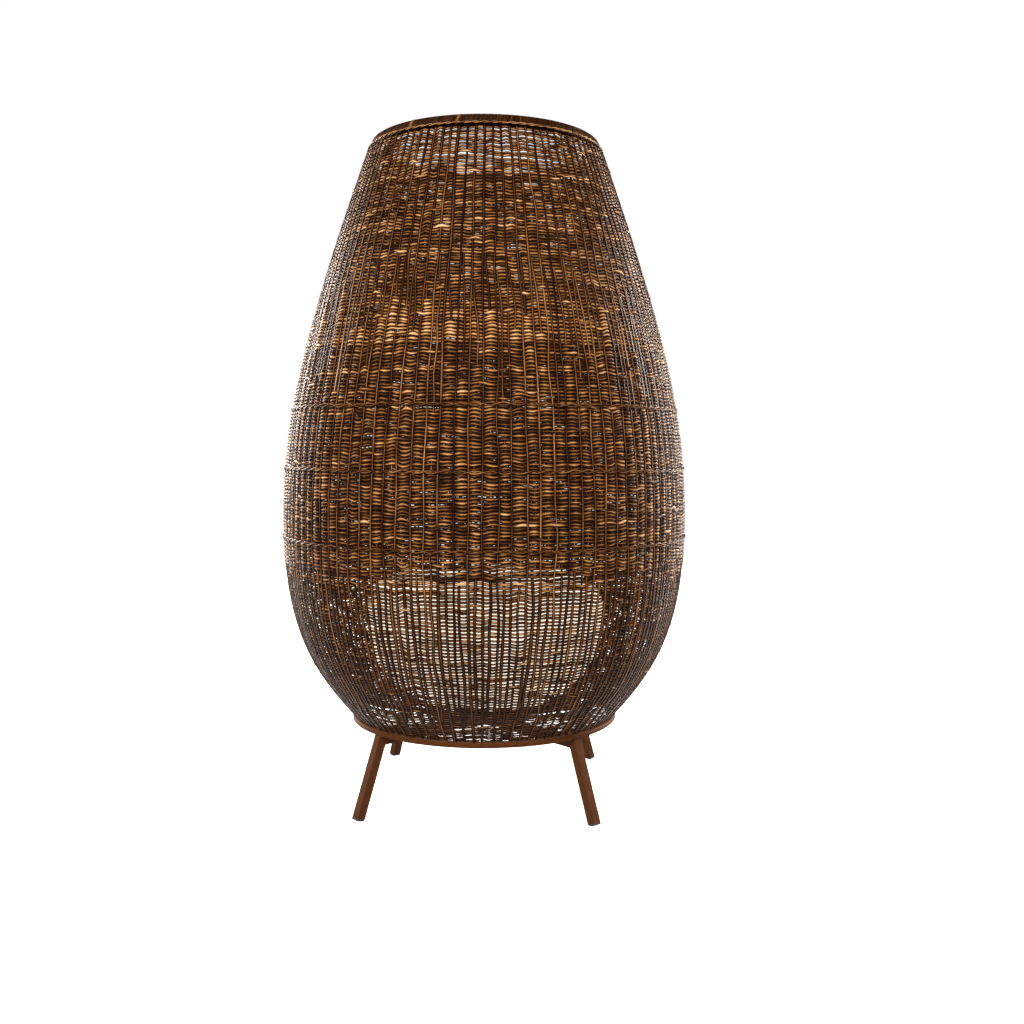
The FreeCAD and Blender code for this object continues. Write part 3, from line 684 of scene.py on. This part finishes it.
def rim_wraps():
    """Flat cane wound round the border, turn beside turn, with a few wide pale straps."""
    middle_r, middle_z = torus_middle("top_hoop")
    wraps = Strands()
    angle = 0.0
    while angle < TURN:
        strap = rng.random() < STRAP_CHANCE
        width = rng.uniform(*WRAP_WIDTHS)
        tint = rng.normal(*WRAP_TINT)
        if strap:
            width = rng.uniform(*STRAP_WIDTHS)
            tint = rng.uniform(*STRAP_TINTS)
        elif rng.random() < PALE_CHANCE:
            tint = PALE_TINT
        step = width / middle_r
        section_r, section_z = border_section(1.0 if strap else WRAP_SCALE)
        turns = angle + step / 2 + rng.normal(*WRAP_SLANT) * section_z / BORDER_HALF[1]
        r = middle_r + section_r
        z = middle_z + section_z
        points = np.stack([r * np.cos(turns), r * np.sin(turns), z], axis=-1)
        across = np.stack([-np.sin(turns), np.cos(turns), 0 * turns], axis=-1)
        wraps.add(points, across, WRAP_HALF_DEPTH, width * WRAP_OVERLAP, tint, closed=True)
        angle += step
    return wraps.build("rim_wraps", border_cane)


def rim_braid():
    """Two canes twisted round each other in a ring under the border."""
    middle_r, middle_z = torus_middle("top_hoop")
    ring_r = middle_r + BRAID_STAND
    ring_z = middle_z - BRAID_DROP
    turns = int(TURN * ring_r / BRAID_LAY)
    angle = np.linspace(0, TURN, turns * BRAID_STEPS, endpoint=False)
    pair = Strands()
    for start in (0, math.pi):
        phase = angle * turns + start
        r = ring_r + BRAID_REACH * np.cos(phase)
        z = ring_z + BRAID_REACH * np.sin(phase)
        points = np.stack([r * np.cos(angle), r * np.sin(angle), z], axis=-1)
        ups = np.tile([0.0, 0.0, 1.0], (len(angle), 1))
        tint = BRAID_TINT + waves(*BRAID_FADE)(angle)
        pair.add(points, ups, BRAID_HALF, BRAID_HALF, tint, closed=True, sides=BRAID_SIDES)
    return pair.build("rim_braid", wicker)


def make_weave_and_rim():
    """The visible pieces that stand in for three CAD nodes. They all belong to the shade."""
    pieces = weave()
    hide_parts("woven_shell")
    core = rim_core()
    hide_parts("rim_border")
    braid = rim_braid()
    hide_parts("trim_braid")
    for piece in pieces + [core, rim_wraps(), braid]:
        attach(piece, "shade")


# ---- Stage, light and camera ----
CAMERA_DISTANCE = 1.585
CAMERA_HEIGHT = 0.500
CAMERA_SIDE = 0.039          # to the right of the line through the axis
CAMERA_TURN = math.radians(2.8)
CAMERA_PITCH = math.radians(3.51)
CAMERA_ROLL = math.radians(0.2)
LENS = 38.7
SENSOR_WIDTH = 36
AMBIENT = 0.16               # the world's strength where it lights
GLOSS_LIGHT = 0.15           # and where it is seen in a gloss; it looks white to the camera
FLOOR_HALF = 30.0
FLOOR_GLOW = 0.88
LIGHT_TARGET = (0, 0, 0.5)
# name, place, size, power, colour
LIGHTS = (
    ("key", (-0.9, -2.6, 2.3), 0.5, 100, (1.0, 1.0, 1.0)),
    ("fill", (1.6, -2.2, 1.4), 0.6, 30, (1.0, 1.0, 1.0)),
    ("left", (-2.0, 1.6, 1.0), 1.2, 150, (1.0, 0.95, 0.88)),
    ("right", (2.0, 1.6, 1.0), 1.2, 150, (1.0, 0.95, 0.88)),
)


def make_camera():
    """The camera, turned a little round the axis, a little low and looking slightly down."""
    camera = bpy.data.objects.new("camera", bpy.data.cameras.new("camera"))
    camera.data.lens = LENS
    camera.data.sensor_width = SENSOR_WIDTH
    turn = Matrix.Rotation(CAMERA_TURN, 4, "Z")
    place = Matrix.Translation(Vector((CAMERA_SIDE, -CAMERA_DISTANCE, CAMERA_HEIGHT)))
    tilt = Matrix.Rotation(math.pi / 2 - CAMERA_PITCH, 4, "X")
    roll = Matrix.Rotation(CAMERA_ROLL, 4, "Z")
    camera.matrix_world = turn @ place @ tilt @ roll
    bpy.context.scene.collection.objects.link(camera)
    bpy.context.scene.camera = camera


def make_floor():
    """A white floor that stretches far past the lantern."""
    material, tree, shader = material_tree("floor")
    speck = noise(tree, 3.0, 2.0)
    shade = ramp(tree, speck, [(0.3, (0.90, 0.90, 0.90)), (0.7, (0.93, 0.93, 0.93))])
    tree.links.new(shade, shader.inputs["Base Color"])
    shader.inputs["Roughness"].default_value = 0.9
    shader.inputs["Specular IOR Level"].default_value = 0.1
    shader.inputs["Emission Color"].default_value = (1, 1, 1, 1)
    shader.inputs["Emission Strength"].default_value = FLOOR_GLOW
    half = FLOOR_HALF
    corners = [(-half, -half, 0), (half, -half, 0), (half, half, 0), (-half, half, 0)]
    floor = new_piece("floor", corners, [(0, 1, 2, 3)], material)
    floor.visible_diffuse = False


def make_world():
    """White where the camera sees it, and a dim soft light on everything else."""
    world = bpy.data.worlds.new("studio")
    bpy.context.scene.world = world
    world.use_nodes = True
    tree = world.node_tree
    background = tree.nodes["Background"]
    background.inputs["Color"].default_value = (1, 1, 1, 1)
    path = tree.nodes.new("ShaderNodeLightPath")
    seen = math_node(tree, "MULTIPLY", path.outputs["Is Camera Ray"], 1 - AMBIENT)
    gloss = math_node(tree, "MULTIPLY", path.outputs["Is Glossy Ray"], GLOSS_LIGHT - AMBIENT)
    strength = math_node(tree, "ADD", math_node(tree, "ADD", seen, gloss), AMBIENT)
    tree.links.new(strength, background.inputs["Strength"])


def make_lights():
    """Discs of light, all turned towards the middle of the lantern."""
    for name, place, size, power, colour in LIGHTS:
        light = bpy.data.lights.new(name, "AREA")
        light.shape = "DISK"
        light.size = size
        light.energy = power
        light.color = colour
        lamp = bpy.data.objects.new(name, light)
        lamp.location = place
        towards = Vector(LIGHT_TARGET) - Vector(place)
        lamp.rotation_euler = towards.to_track_quat("-Z", "Y").to_euler()
        bpy.context.scene.collection.objects.link(lamp)


dress_nodes()
make_weave_and_rim()
make_camera()
make_floor()
make_world()
make_lights()
bpy.context.scene.view_settings.view_transform = "Standard"
